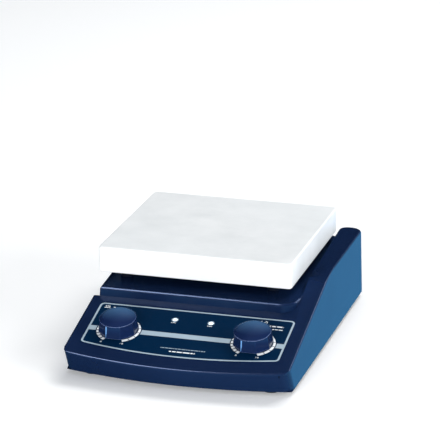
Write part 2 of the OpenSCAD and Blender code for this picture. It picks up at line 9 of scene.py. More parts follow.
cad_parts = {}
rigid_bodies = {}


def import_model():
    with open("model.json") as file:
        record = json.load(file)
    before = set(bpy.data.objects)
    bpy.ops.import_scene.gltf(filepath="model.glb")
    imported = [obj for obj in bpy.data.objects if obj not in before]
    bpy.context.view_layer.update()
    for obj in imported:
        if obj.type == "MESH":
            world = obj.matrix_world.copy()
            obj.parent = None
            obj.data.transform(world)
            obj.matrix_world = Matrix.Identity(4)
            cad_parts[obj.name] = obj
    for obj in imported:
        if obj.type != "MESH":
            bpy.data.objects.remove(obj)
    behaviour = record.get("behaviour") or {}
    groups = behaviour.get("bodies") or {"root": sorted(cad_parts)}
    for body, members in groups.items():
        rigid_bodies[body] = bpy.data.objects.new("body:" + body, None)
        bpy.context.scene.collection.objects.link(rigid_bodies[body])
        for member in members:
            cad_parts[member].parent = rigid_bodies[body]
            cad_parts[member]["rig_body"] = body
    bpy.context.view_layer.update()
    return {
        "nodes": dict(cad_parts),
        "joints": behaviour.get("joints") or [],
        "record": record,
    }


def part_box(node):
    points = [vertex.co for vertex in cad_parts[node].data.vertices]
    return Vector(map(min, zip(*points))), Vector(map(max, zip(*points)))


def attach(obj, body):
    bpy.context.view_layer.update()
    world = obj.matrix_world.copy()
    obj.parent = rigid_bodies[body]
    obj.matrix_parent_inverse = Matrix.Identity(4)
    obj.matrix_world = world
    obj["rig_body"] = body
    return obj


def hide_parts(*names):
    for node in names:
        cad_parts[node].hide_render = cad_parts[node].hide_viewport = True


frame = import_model()

bl_info = {
    "name": "Bench Magnetic Stirrer",
    "version": (1, 0, 0),
    "blender": (4, 5, 0),
    "location": "View3D > Sidebar > Stirrer",
    "description": "Builds the finished surfaces of a bench magnetic stirrer around its CAD model",
    "category": "Add Mesh",
}

MM = 0.001
NODES = frame["nodes"]
JOINTS = {joint["name"]: joint for joint in frame["joints"]}


# ---- sizes and colours that a user would change ----

class StirrerSizes(bpy.types.PropertyGroup):
    lip_radius: FloatProperty(
        name="Lip radius", description="Rounding of the housing's front lip",
        default=0.0024, unit="LENGTH")
    rim_radius: FloatProperty(
        name="Rim radius", description="Rounding along the housing's sides and arm",
        default=0.0018, unit="LENGTH")
    corner_radius: FloatProperty(
        name="Corner radius", description="Rounding of the housing's upright corners",
        default=0.0085, unit="LENGTH")
    deck_radius: FloatProperty(
        name="Deck radius", description="Rounding of the deck's edge",
        default=0.0026, unit="LENGTH")
    plate_radius: FloatProperty(
        name="Plate radius", description="Rounding of the hot plate's long edges",
        default=0.0016, unit="LENGTH")
    plate_foot_radius: FloatProperty(
        name="Plate foot radius", description="Rounding of the hot plate's lower edges",
        default=0.0012, unit="LENGTH")
    border_width: FloatProperty(
        name="Border width", description="Width of the printed border",
        default=0.0017, unit="LENGTH")
    stripe_width: FloatProperty(
        name="Stripe width", description="Width of the stripe between the knobs",
        default=0.0068, unit="LENGTH")
    dial_radius: FloatProperty(
        name="Dial radius", description="Outer radius of the scale round each knob",
        default=0.0195, unit="LENGTH")
    ink_height: FloatProperty(
        name="Ink height", description="How far printed marks stand above the film",
        default=0.00005, unit="LENGTH")


class StirrerColours(bpy.types.PropertyGroup):
    navy: FloatVectorProperty(
        name="Navy", description="Colour of the housing's moulding", subtype="COLOR",
        size=3, default=(0.0048, 0.0145, 0.050))
    knob_blue: FloatVectorProperty(
        name="Knob blue", description="Colour of the knobs", subtype="COLOR",
        size=3, default=(0.006, 0.016, 0.062))
    film_blue: FloatVectorProperty(
        name="Film blue", description="Colour of the control panel's film", subtype="COLOR",
        size=3, default=(0.0004, 0.0145, 0.046))
    ink: FloatVectorProperty(
        name="Ink", description="Colour of the printed marks", subtype="COLOR",
        size=3, default=(0.34, 0.43, 0.50))
    ceramic: FloatVectorProperty(
        name="Ceramic", description="Colour of the hot plate", subtype="COLOR",
        size=3, default=(0.86, 0.885, 0.89))
    stage_white: FloatVectorProperty(
        name="Floor", description="Colour of the studio floor", subtype="COLOR",
        size=3, default=(0.92, 0.92, 0.92))


def sizes():
    return bpy.context.scene.stirrer_sizes


def colours():
    return bpy.context.scene.stirrer_colours


# ---- shader helpers ----

def add_node(tree, kind, **settings):
    made = tree.nodes.new(kind)
    for key, value in settings.items():
        if hasattr(made, key):
            setattr(made, key, value)
        else:
            made.inputs[key].default_value = value
    return made


def link(tree, source, target):
    tree.links.new(source, target)


def rgba(colour):
    return (*colour[:3], 1.0)


def start_group(name, inputs, outputs):
    """A shader node group with float inputs {name: default} and named outputs."""
    group = bpy.data.node_groups.new(name, "ShaderNodeTree")
    for label, default in inputs.items():
        socket = group.interface.new_socket(label, in_out="INPUT", socket_type="NodeSocketFloat")
        socket.default_value = default
    for label in outputs:
        group.interface.new_socket(label, in_out="OUTPUT", socket_type="NodeSocketFloat")
    return group, group.nodes.new("NodeGroupInput"), group.nodes.new("NodeGroupOutput")


def group_named(name, build):
    return bpy.data.node_groups.get(name) or build(name)


def build_grain(name):
    """Moulding grain: fine pits and slow waves in height, and a soft mottle."""
    group, given, out = start_group(
        name, {"Scale": 900.0, "Wave Scale": 60.0, "Waves": 0.5}, ("Height", "Mottle"))
    place = add_node(group, "ShaderNodeTexCoord")
    pits = add_node(group, "ShaderNodeTexNoise", Detail=3.0, Roughness=0.6)
    waves = add_node(group, "ShaderNodeTexNoise", Detail=1.0)
    mottle = add_node(group, "ShaderNodeTexNoise", Scale=22.0, Detail=4.0, Roughness=0.65)
    for texture in (pits, waves, mottle):
        link(group, place.outputs["Object"], texture.inputs["Vector"])
    link(group, given.outputs["Scale"], pits.inputs["Scale"])
    link(group, given.outputs["Wave Scale"], waves.inputs["Scale"])
    mixed = add_node(group, "ShaderNodeMix", data_type="FLOAT")
    link(group, given.outputs["Waves"], mixed.inputs[0])
    link(group, pits.outputs[0], mixed.inputs[2])
    link(group, waves.outputs[0], mixed.inputs[3])
    link(group, mixed.outputs[0], out.inputs["Height"])
    link(group, mottle.outputs[0], out.inputs["Mottle"])
    return group


def build_wear(name):
    """Wear mask: bright along exposed edges, broken up by noise."""
    group, given, out = start_group(name, {"Reach": 0.52, "Breakup": 180.0}, ("Mask",))
    geometry = add_node(group, "ShaderNodeNewGeometry")
    place = add_node(group, "ShaderNodeTexCoord")
    speckle = add_node(group, "ShaderNodeTexNoise", Detail=4.0)
    link(group, place.outputs["Object"], speckle.inputs["Vector"])
    link(group, given.outputs["Breakup"], speckle.inputs["Scale"])
    above = add_node(group, "ShaderNodeMath", operation="SUBTRACT")
    link(group, geometry.outputs["Pointiness"], above.inputs[0])
    link(group, given.outputs["Reach"], above.inputs[1])
    sharper = add_node(group, "ShaderNodeMath", operation="MULTIPLY", use_clamp=True)
    sharper.inputs[1].default_value = 9.0
    link(group, above.outputs[0], sharper.inputs[0])
    broken = add_node(group, "ShaderNodeMath", operation="MULTIPLY", use_clamp=True)
    link(group, sharper.outputs[0], broken.inputs[0])
    link(group, speckle.outputs[0], broken.inputs[1])
    link(group, broken.outputs[0], out.inputs["Mask"])
    return group


def build_dust(name):
    """Dust mask: fine specks that settle on faces that look up."""
    group, given, out = start_group(name, {"Scale": 700.0, "Threshold": 0.66}, ("Mask",))
    geometry = add_node(group, "ShaderNodeNewGeometry")
    split = add_node(group, "ShaderNodeSeparateXYZ")
    place = add_node(group, "ShaderNodeTexCoord")
    specks = add_node(group, "ShaderNodeTexNoise", Detail=2.0, Roughness=0.7)
    link(group, geometry.outputs["Normal"], split.inputs[0])
    link(group, place.outputs["Object"], specks.inputs["Vector"])
    link(group, given.outputs["Scale"], specks.inputs["Scale"])
    over = add_node(group, "ShaderNodeMath", operation="SUBTRACT")
    link(group, specks.outputs[0], over.inputs[0])
    link(group, given.outputs["Threshold"], over.inputs[1])
    dots = add_node(group, "ShaderNodeMath", operation="MULTIPLY", use_clamp=True)
    dots.inputs[1].default_value = 8.0
    link(group, over.outputs[0], dots.inputs[0])
    up = add_node(group, "ShaderNodeMath", operation="MULTIPLY", use_clamp=True)
    link(group, dots.outputs[0], up.inputs[0])
    link(group, split.outputs["Z"], up.inputs[1])
    link(group, up.outputs[0], out.inputs["Mask"])
    return group


def build_brushing(name):
    """Brushed or drawn metal: streaks along one axis."""
    group, given, out = start_group(name, {"Scale": 900.0, "Stretch": 0.03}, ("Height", "Streak"))
    place = add_node(group, "ShaderNodeTexCoord")
    squeeze = add_node(group, "ShaderNodeVectorMath", operation="MULTIPLY")
    pack = add_node(group, "ShaderNodeCombineXYZ", X=1.0, Z=1.0)
    link(group, given.outputs["Stretch"], pack.inputs["Y"])
    link(group, place.outputs["Object"], squeeze.inputs[0])
    link(group, pack.outputs[0], squeeze.inputs[1])
    streaks = add_node(group, "ShaderNodeTexNoise", Detail=3.0)
    link(group, squeeze.outputs[0], streaks.inputs["Vector"])
    link(group, given.outputs["Scale"], streaks.inputs["Scale"])
    link(group, streaks.outputs[0], out.inputs["Height"])
    link(group, streaks.outputs[0], out.inputs["Streak"])
    return group


def build_edge(name):
    """A mask for a thin line where two faces meet at an outward corner, along which the knob
    paints its highlight.
    """
    group, given, out = start_group(name, {"Width": 0.0004}, ("Mask",))
    rounded = add_node(group, "ShaderNodeBevel", samples=6)
    link(group, given.outputs["Width"], rounded.inputs["Radius"])
    flat = add_node(group, "ShaderNodeNewGeometry")
    agree = add_node(group, "ShaderNodeVectorMath", operation="DOT_PRODUCT")
    link(group, rounded.outputs["Normal"], agree.inputs[0])
    link(group, flat.outputs["Normal"], agree.inputs[1])
    line = add_node(group, "ShaderNodeMapRange")
    line.inputs["From Min"].default_value = 0.995
    line.inputs["From Max"].default_value = 0.93
    link(group, agree.outputs["Value"], line.inputs["Value"])
    link(group, line.outputs[0], out.inputs["Mask"])
    return group


GROUPS = {"grain": ("Moulding Grain", build_grain), "wear": ("Edge Wear", build_wear),
          "dust": ("Settled Dust", build_dust), "brushing": ("Brushing", build_brushing),
          "edge": ("Edge Line", build_edge)}


def use_group(tree, key, **values):
    name, build = GROUPS[key]
    made = tree.nodes.new("ShaderNodeGroup")
    made.node_tree = group_named(name, build)
    for label, value in values.items():
        made.inputs[label.replace("_", " ")].default_value = value
    return made


def start_material(name, colour, rough, metal=0.0, coat=0.0, specular=0.5):
    material = bpy.data.materials.new(name)
    material.use_nodes = True
    tree = material.node_tree
    shader = tree.nodes["Principled BSDF"]
    shader.inputs["Base Color"].default_value = rgba(colour)
    shader.inputs["Roughness"].default_value = rough
    shader.inputs["Metallic"].default_value = metal
    shader.inputs["Coat Weight"].default_value = coat
    shader.inputs["Coat Roughness"].default_value = 0.06
    shader.inputs["Specular IOR Level"].default_value = specular
    material.diffuse_color = rgba(colour)
    return material, tree, shader


def vary_colour(tree, shader, mask, first, second):
    mix = add_node(tree, "ShaderNodeMix", data_type="RGBA")
    mix.inputs[6].default_value = rgba(first)
    mix.inputs[7].default_value = rgba(second)
    link(tree, mask, mix.inputs[0])
    link(tree, mix.outputs[2], shader.inputs["Base Color"])
    return mix


def vary_roughness(tree, shader, mask, low, high):
    span = add_node(tree, "ShaderNodeMapRange")
    span.inputs["To Min"].default_value = low
    span.inputs["To Max"].default_value = high
    link(tree, mask, span.inputs["Value"])
    link(tree, span.outputs[0], shader.inputs["Roughness"])


def add_bump(tree, shader, height, strength, distance):
    bump = add_node(tree, "ShaderNodeBump", Strength=strength, Distance=distance)
    link(tree, height, bump.inputs["Height"])
    link(tree, bump.outputs[0], shader.inputs["Normal"])


def scaled(colour, factor):
    return tuple(min(1.0, part * factor) for part in colour[:3])


def moulded(name, colour, rough, coat=0.0, grain=900.0, depth=0.00002, waves=0.5, dust=0.25,
            specular=0.5, worn=1.6):
    """A moulded plastic or rubber with grain, mottle, edge wear and a trace of dust."""
    material, tree, shader = start_material(name, colour, rough, coat=coat, specular=specular)
    texture = use_group(tree, "grain", Scale=grain, Waves=waves)
    wear = use_group(tree, "wear")
    specks = use_group(tree, "dust")
    mottled = vary_colour(tree, shader, texture.outputs["Mottle"],
                          scaled(colour, 0.86), scaled(colour, 1.16))
    edged = add_node(tree, "ShaderNodeMix", data_type="RGBA")
    edged.inputs[7].default_value = rgba(scaled(colour, worn))
    link(tree, wear.outputs["Mask"], edged.inputs[0])
    link(tree, mottled.outputs[2], edged.inputs[6])
    faint = add_node(tree, "ShaderNodeMath", operation="MULTIPLY")
    faint.inputs[1].default_value = dust
    link(tree, specks.outputs["Mask"], faint.inputs[0])
    dusted = add_node(tree, "ShaderNodeMix", data_type="RGBA")
    dusted.inputs[7].default_value = (0.45, 0.46, 0.48, 1.0)
    link(tree, faint.outputs[0], dusted.inputs[0])
    link(tree, edged.outputs[2], dusted.inputs[6])
    link(tree, dusted.outputs[2], shader.inputs["Base Color"])
    vary_roughness(tree, shader, texture.outputs["Mottle"], rough * 0.8, min(1.0, rough * 1.25))
    add_bump(tree, shader, texture.outputs["Height"], 0.35, depth)
    return material


def metallic(name, colour, rough, stretch=0.03, scale=900.0, metal=0.8):
    """A metal with fine drawing marks and edges rubbed brighter."""
    material, tree, shader = start_material(name, colour, rough, metal=metal)
    marks = use_group(tree, "brushing", Scale=scale, Stretch=stretch)
    wear = use_group(tree, "wear", Reach=0.51)
    base = vary_colour(tree, shader, marks.outputs["Streak"],
                       scaled(colour, 0.88), scaled(colour, 1.08))
    edged = add_node(tree, "ShaderNodeMix", data_type="RGBA")
    edged.inputs[7].default_value = rgba(scaled(colour, 1.3))
    link(tree, wear.outputs["Mask"], edged.inputs[0])
    link(tree, base.outputs[2], edged.inputs[6])
    link(tree, edged.outputs[2], shader.inputs["Base Color"])
    vary_roughness(tree, shader, marks.outputs["Streak"], rough * 0.75, min(1.0, rough * 1.3))
    add_bump(tree, shader, marks.outputs["Height"], 0.25, 0.00002)
    return material


def moulded_with_painted_sheen(name, colour, rough, glow):
    """A moulding with a painted sheen: its upward faces are painted paler towards the grazing
    edge, a painted reflection of the skyline, and its outward corners carry a painted highlight
    line.
    """
    material = moulded(name, colour, rough, coat=0.25, grain=1600.0, depth=0.00001, waves=0.6,
                       dust=0.03, worn=2.6)
    tree = material.node_tree
    shader = tree.nodes["Principled BSDF"]
    # painted reflection: upward faces turning away from view are painted towards the pale glow
    # colour
    facing = add_node(tree, "ShaderNodeLayerWeight", Blend=0.35)
    geometry = add_node(tree, "ShaderNodeNewGeometry")
    split = add_node(tree, "ShaderNodeSeparateXYZ")
    link(tree, geometry.outputs["Normal"], split.inputs[0])
    upper = add_node(tree, "ShaderNodeMapRange")
    upper.inputs["From Min"].default_value = 0.75
    link(tree, split.outputs["Z"], upper.inputs["Value"])
    painted_sheen_amount = add_node(tree, "ShaderNodeMath", operation="MULTIPLY", use_clamp=True)
    link(tree, facing.outputs["Facing"], painted_sheen_amount.inputs[0])
    link(tree, upper.outputs[0], painted_sheen_amount.inputs[1])
    below = shader.inputs["Base Color"].links[0].from_socket
    blend = add_node(tree, "ShaderNodeMix", data_type="RGBA")
    blend.inputs[7].default_value = rgba(glow)
    link(tree, painted_sheen_amount.outputs[0], blend.inputs[0])
    link(tree, below, blend.inputs[6])
    # painted highlight: a pale-blue line painted along the knob's outward corners and ledge
    painted_highlight_mask = use_group(tree, "edge")
    painted_edge_highlight = add_node(tree, "ShaderNodeMix", data_type="RGBA")
    painted_edge_highlight.inputs[7].default_value = (0.22, 0.30, 0.55, 1.0)
    link(tree, painted_highlight_mask.outputs["Mask"], painted_edge_highlight.inputs[0])
    link(tree, blend.outputs[2], painted_edge_highlight.inputs[6])
    link(tree, painted_edge_highlight.outputs[2], shader.inputs["Base Color"])
    return material


def emitting(name, colour, glow):
    """A lit lens whose colour varies a little with the grain's mottle, and which glows in that
    colour.
    """
    material, tree, shader = start_material(name, colour, 0.12, coat=0.6)
    texture = use_group(tree, "grain", Scale=1500.0)
    halo = add_node(tree, "ShaderNodeMix", data_type="RGBA")
    halo.inputs[6].default_value = rgba(scaled(colour, 0.75))
    halo.inputs[7].default_value = rgba(colour)
    link(tree, texture.outputs["Mottle"], halo.inputs[0])
    link(tree, halo.outputs[2], shader.inputs["Base Color"])
    link(tree, halo.outputs[2], shader.inputs["Emission Color"])
    shader.inputs["Emission Strength"].default_value = glow
    return material


def circuit(name, colour):
    """Solder mask with paler tracks under it."""
    material, tree, shader = start_material(name, colour, 0.35, coat=0.4)
    place = add_node(tree, "ShaderNodeTexCoord")
    tracks = add_node(tree, "ShaderNodeTexBrick", Scale=90.0)
    tracks.inputs["Color1"].default_value = rgba(colour)
    tracks.inputs["Color2"].default_value = rgba(scaled(colour, 0.8))
    tracks.inputs["Mortar"].default_value = rgba(scaled(colour, 2.2))
    tracks.inputs["Mortar Size"].default_value = 0.04
    link(tree, place.outputs["Object"], tracks.inputs["Vector"])
    link(tree, tracks.outputs["Color"], shader.inputs["Base Color"])
    add_bump(tree, shader, tracks.outputs["Fac"], 0.2, 0.00005)
    return material


MATERIALS = {}


def makers():
    """How each finish is made, by the record's slot names, and the print's own."""
    tone = colours()
    return {
        "housing": lambda: moulded("Navy Moulding", tone.navy, 0.24, grain=1400.0,
                                   depth=0.000012, waves=0.85, dust=0.03, specular=0.36,
                                   worn=1.5),
        "base": lambda: moulded("Cover Moulding", (0.020, 0.024, 0.036), 0.55, depth=0.00006),
        "foot_rubber": lambda: moulded("Foot Rubber", (0.018, 0.018, 0.019), 0.85, grain=1800.0,
                                       depth=0.00008, waves=0.1, dust=0.6),
        "overlay": lambda: moulded("Panel Film", tone.film_blue, 0.36, grain=2200.0,
                                   depth=0.000008, waves=0.2, dust=0.02, specular=0.12,
                                   worn=1.2),
        "ink": lambda: moulded("Printed Ink", tone.ink, 0.45, grain=2600.0, depth=0.000006,
                               waves=0.1, dust=0.0, worn=1.1),
        "white_ink": lambda: moulded("White Ink", (0.84, 0.87, 0.90), 0.45, grain=2600.0,
                                     depth=0.000006, waves=0.1, dust=0.0, worn=1.1),
        # the knob's pale blue (0.10, 0.24, 0.46) is a painted sheen, a painted reflection on its
        # cap
        "knob": lambda: moulded_with_painted_sheen("Knob Moulding With Painted Sheen", tone.knob_blue, 0.20, (0.10, 0.24, 0.46)),
        # pointer inlay: a real pointer line, its pale blue a painted highlight standing in for a
        # glint on the knob's corner
        "pointer": lambda: moulded("Pointer Inlay With Painted Glint", (0.12, 0.28, 0.55), 0.3, dust=0.0, worn=1.6),
        "plate_ceramic": lambda: moulded("Plate Ceramic", tone.ceramic, 0.42, coat=0.05,
                                         grain=1100.0, depth=0.00002, waves=0.4, dust=0.0,
                                         specular=0.3, worn=1.02),
        "lamp": lambda: emitting("Lamp Lens", (0.80, 0.92, 1.0), 1.4),
        "black_plastic": lambda: moulded("Black Moulding", (0.016, 0.016, 0.018), 0.45,
                                         depth=0.00004),
        "rocker": lambda: moulded("Rocker Moulding", (0.16, 0.010, 0.010), 0.25, coat=0.4),
        "screw_steel": lambda: metallic("Zinc Plate", (0.62, 0.63, 0.65), 0.32),
        "bright_metal": lambda: metallic("Satin Steel", (0.60, 0.61, 0.62), 0.30),
        "motor_steel": lambda: metallic("Motor Steel", (0.34, 0.35, 0.37), 0.42),
        "brass": lambda: metallic("Turned Brass", (0.74, 0.52, 0.22), 0.32, metal=0.4),
        "copper": lambda: metallic("Enamelled Copper", (0.66, 0.28, 0.10), 0.38, scale=1600.0),
        "black_metal": lambda: metallic("Dark Anodising", (0.035, 0.042, 0.07), 0.34),
        "circuit_board": lambda: circuit("Circuit Board", (0.012, 0.10, 0.035)),
        "insulation": lambda: moulded("Fibre Board", (0.62, 0.59, 0.52), 0.9, grain=500.0,
                                      depth=0.0002, waves=0.2, dust=0.3),
        "heater": lambda: moulded("Mica Element", (0.42, 0.36, 0.24), 0.5, coat=0.2),
        "nylon": lambda: moulded("Nylon", (0.72, 0.72, 0.68), 0.5),
        "coil_tape": lambda: moulded("Coil Tape", (0.62, 0.40, 0.06), 0.4),
        "capacitor": lambda: moulded("Capacitor Sleeve", (0.02, 0.04, 0.16), 0.3, coat=0.3),
        "green_plastic": lambda: moulded("Terminal Moulding", (0.02, 0.18, 0.07), 0.45),
        "fuse_glass": lambda: moulded("Fuse Glass", (0.75, 0.80, 0.82), 0.08, coat=0.5, dust=0.0),
        "diode": lambda: moulded("Diode Resin", (0.70, 0.76, 0.82), 0.12, coat=0.5, dust=0.0),
        "pot_case": lambda: metallic("Stamped Can", (0.5, 0.5, 0.52), 0.4),
    }


def material_for(key):
    """The finish named key, made once."""
    if key not in MATERIALS:
        MATERIALS[key] = makers()[key]()
    return MATERIALS[key]


def dress(target, key):
    target.data.materials.clear()
    target.data.materials.append(material_for(key))


# ---- mesh helpers ----

SLOTS = {part["node"]: part["material_slot"] for part in frame["record"]["subparts"]}


def place_piece(name, mesh, like, finish=None):
    """Links a finished mesh as a piece that rides and is finished like the CAD nodes named."""
    piece = bpy.data.objects.new(name, mesh)
    bpy.context.scene.collection.objects.link(piece)
    dress(piece, finish or SLOTS[like[0]])
    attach(piece, NODES[like[0]]["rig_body"])
    return piece


def replace_nodes(piece, *nodes):
    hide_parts(*nodes)
    return piece


def finish_mesh(name, build, smooth_angle=35.0):
    mesh = bpy.data.meshes.new(name)
    bmesh.ops.recalc_face_normals(build, faces=build.faces)
    build.to_mesh(mesh)
    build.free()
    mesh.shade_smooth()
    mesh.set_sharp_from_angle(angle=math.radians(smooth_angle))
    return mesh


def even_normals(piece):
    modifier = piece.modifiers.new("Weighted normals", "WEIGHTED_NORMAL")
    modifier.keep_sharp = True
    modifier.weight = 80


def cad_copy(node):
    """A clean bmesh of a CAD node: one vertex a corner, flat faces joined up."""
    build = bmesh.new()
    build.from_mesh(NODES[node].data)
    bmesh.ops.remove_doubles(build, verts=build.verts, dist=1e-6)
    bmesh.ops.dissolve_limit(build, angle_limit=math.radians(0.4), verts=build.verts,
                             edges=build.edges, delimit=set())
    return build


def round_edges(piece, segments):
    """Rounds edges by their bevel weight, where a weight of 1 is 10 mm, and keeps the result."""
    bevel = piece.modifiers.new("Rounded edges", "BEVEL")
    bevel.limit_method = "WEIGHT"
    bevel.width = 10 * MM
    bevel.segments = segments
    bevel.use_clamp_overlap = False
    bevel.miter_outer = "MITER_ARC"
    finishes = list(piece.data.materials)
    graph = bpy.context.evaluated_depsgraph_get()
    mesh = bpy.data.meshes.new_from_object(piece.evaluated_get(graph))
    piece.modifiers.remove(bevel)
    piece.data = mesh
    mesh.materials.clear()
    for finish in finishes:
        mesh.materials.append(finish)
    mesh.shade_smooth()
    mesh.set_sharp_from_angle(angle=math.radians(32))
    even_normals(piece)


def softened(name, node, radius, segments=3, angle=28.0, low_radius=None):
    """A CAD node with its crisp edges rounded, its lowest edges by a radius of their own."""
    build = cad_copy(node)
    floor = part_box(node)[0].z + 0.5 * MM
    weight = build.edges.layers.float.new("bevel_weight_edge")
    for edge in build.edges:
        if edge.is_manifold and edge.calc_face_angle(0.0) > math.radians(angle):
            low = all(vert.co.z < floor for vert in edge.verts)
            edge[weight] = (low_radius if low and low_radius else radius) / (10 * MM)
    piece = place_piece(name, finish_mesh(name, build), [node])
    replace_nodes(piece, node)
    round_edges(piece, segments)
    return piece


def bridge(build, first, second):
    """Quads between two closed rings of vertices."""
    count = len(first)
    for i in range(count):
        build.faces.new((first[i], first[(i + 1) % count],
                         second[(i + 1) % count], second[i]))


def skin_rings(build, rings, where):
    """A closed skin over rings of local points, each end closed at its centre."""
    made = [[build.verts.new(where @ Vector(point)) for point in ring] for ring in rings]
    for first, second in zip(made, made[1:]):
        bridge(build, first, second)
    for ring in (made[0], made[-1]):
        middle = sum((vert.co for vert in ring), Vector()) / len(ring)
        centre = build.verts.new(middle)
        for i, vert in enumerate(ring):
            build.faces.new((vert, ring[(i + 1) % len(ring)], centre))


def circle_ring(radius, height, count):
    return [(radius * math.sin(math.tau * i / count), radius * math.cos(math.tau * i / count),
             height) for i in range(count)]


# ---- housing ----

HOUSING_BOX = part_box("housing_shell")
PLATE_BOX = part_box("top_plate")


def joint_place(name):
    return Vector(JOINTS[name]["pos_m"])


def panel_frame():
    """The control panel's own frame: origin midway between the knobs, Z out of the panel."""
    heat, speed = joint_place("heat_dial_turn"), joint_place("speed_dial_turn")
    out = -Vector(JOINTS["heat_dial_turn"]["axis"]).normalized()
    across = Vector((1, 0, 0))
    up = out.cross(across)
    return Matrix.Translation((heat + speed) / 2) @ Matrix(
        ((across.x, up.x, out.x, 0), (across.y, up.y, out.y, 0),
         (across.z, up.z, out.z, 0), (0, 0, 0, 1)))


PANEL = panel_frame()
FROM_PANEL = PANEL.inverted()
KNOB_HALF = (joint_place("speed_dial_turn") - joint_place("heat_dial_turn")).length / 2
DECK_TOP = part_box("plate_posts")[0].z + 9 * MM
SIDE_LEAN = 0.035


def shell_face_kind(face):
    """Names the outer surface that a face of the shell belongs to, or None."""
    low, high = HOUSING_BOX
    centre, normal = face.calc_center_median(), face.normal
    on_panel = FROM_PANEL @ centre
    near = 0.12 * MM
    if abs(on_panel.z) < near and normal.z > 0.9:
        return "slope"
    if abs(centre.z - high.z) < near and normal.z > 0.9:
        return "top"
    if abs(centre.z - DECK_TOP) < near and normal.z > 0.9:
        return "deck"
    if abs(centre.z - low.z) < near and normal.z < -0.9:
        return "foot"
    if abs(centre.y - high.y) < near and normal.y > 0.9:
        return "back"
    lean = (centre.z - low.z) * SIDE_LEAN
    if normal.x > 0.9 and abs(centre.x - (high.x - lean)) < 2 * near:
        return "right"
    if normal.x < -0.9 and abs(centre.x - (low.x + lean)) < 2 * near:
        return "left"
    if normal.y < -0.5 and normal.z < -0.3:
        return "front"
    if normal.z > 0.9 and abs(centre.z - (low.z + 26 * MM)) < near:
        return "shelf"
    if centre.z > low.z + 26 * MM and normal.y > 0.9 and centre.x < -94 * MM:
        return "ledge"
    if centre.z > low.z + 26 * MM and normal.x < -0.9 and -98.5 * MM < centre.x < -94 * MM:
        return "flank"
    if centre.z > low.z + 40 * MM and abs(normal.z) < 0.1 and -56 * MM < centre.y < -18 * MM:
        return "riser"
    if centre.z > low.z + 40 * MM and normal.x < -0.9 and centre.x > 76 * MM:
        return "arm"
    return None


def edge_radius(kinds, measure):
    """Radius for an edge of the shell, from the two surfaces it joins."""
    table = {
        ("front", "slope"): measure.lip_radius,
        ("right", "slope"): measure.rim_radius,
        ("left", "slope"): measure.rim_radius,
        ("right", "top"): measure.rim_radius,
        ("back", "top"): 0.0028,
        ("slope", "top"): 0.0220,
        ("arm", "top"): 0.0024,
        ("front", "right"): measure.corner_radius,
        ("front", "left"): measure.corner_radius,
        ("back", "left"): measure.corner_radius,
        ("corner", "top"): 0.0026,
        ("corner", "foot"): 0.0010,
        ("deck", "riser"): measure.deck_radius,
        ("deck", "flank"): measure.deck_radius,
        ("back", "deck"): measure.deck_radius,
        ("flank", "riser"): 0.0012,
        ("ledge", "slope"): 0.0004,
        ("left", "ledge"): 0.0010,
        ("left", "shelf"): 0.0020,
        ("back", "shelf"): 0.0020,
        ("back", "flank"): 0.0030,
        ("foot", "front"): 0.0010,
        ("foot", "right"): 0.0010,
        ("foot", "left"): 0.0010,
        ("back", "foot"): 0.0010,
    }
    return table.get(kinds, 0.0)


def edge_kinds(edge, kinds):
    """The two surfaces an edge joins, in alphabetical order, or None."""
    if not edge.is_manifold:
        return None
    first, second = (kinds[face] for face in edge.link_faces)
    if first is None or second is None or first == second:
        return None
    return tuple(sorted((first, second)))


def round_arm_end(build):
    """Rounds the arm's end, and returns the surface that each face of the shell belongs to."""
    upright = {("back", "right"): 0.0110, ("arm", "back"): 0.0095}
    rounded = set()
    for pair, radius in upright.items():
        kinds = {face: shell_face_kind(face) for face in build.faces}
        corner = [edge for edge in build.edges if edge_kinds(edge, kinds) == pair]
        made = bmesh.ops.bevel(build, geom=corner, offset=radius, segments=8, profile=0.5,
                               affect="EDGES", clamp_overlap=False)
        rounded.update(made["faces"])
    return {face: "corner" if face in rounded else shell_face_kind(face)
            for face in build.faces}


def make_housing():
    build = cad_copy("housing_shell")
    kinds = round_arm_end(build)
    weight = build.edges.layers.float.new("bevel_weight_edge")
    for edge in build.edges:
        edge[weight] = edge_radius(edge_kinds(edge, kinds), sizes()) / (10 * MM)
    piece = place_piece("housing_body", finish_mesh("housing_body", build), ["housing_shell"])
    replace_nodes(piece, "housing_shell")
    round_edges(piece, 5)


# ---- hot plate ----

def make_plate():
    plate = softened("ceramic_plate", "top_plate", sizes().plate_radius, segments=4,
                     angle=40.0, low_radius=sizes().plate_foot_radius)
    plate.visible_glossy = False
    softened("post_sleeves", "plate_posts", 0.0004)


# ---- control panel ----

def film_outline():
    """Half width, top, lowest point, bow radius and surface height of the film, on the panel."""
    flat = [PANEL.inverted() @ vert.co for vert in NODES["control_overlay"].data.vertices]
    half = max(point.x for point in flat)
    top = max(point.y for point in flat)
    low = min(point.y for point in flat)
    surface = max(point.z for point in flat)
    corner = min(point.y for point in flat if point.x > half - 0.01 * MM)
    rise = corner - low
    return half, top, low, (half * half + rise * rise) / (2 * rise), surface


HALF, TOP, LOW, BOW, SURFACE = film_outline()


def bow_height(x, inset):
    radius = BOW - inset
    return LOW + BOW - math.sqrt(radius * radius - x * x)


def film_loop(inset, corner):
    """The film's outline, drawn in by inset and with rounded corners."""
    half = HALF - inset
    steps = [half * (1 - 2 * k / 24) for k in range(2, 23)]
    bottom = [(x, bow_height(x, inset)) for x in steps]
    crisp = [(-half, bow_height(half, inset)), (-half, TOP - inset), (half, TOP - inset),
             (half, bow_height(half, inset)), *bottom]
    return fillet(crisp, corner)


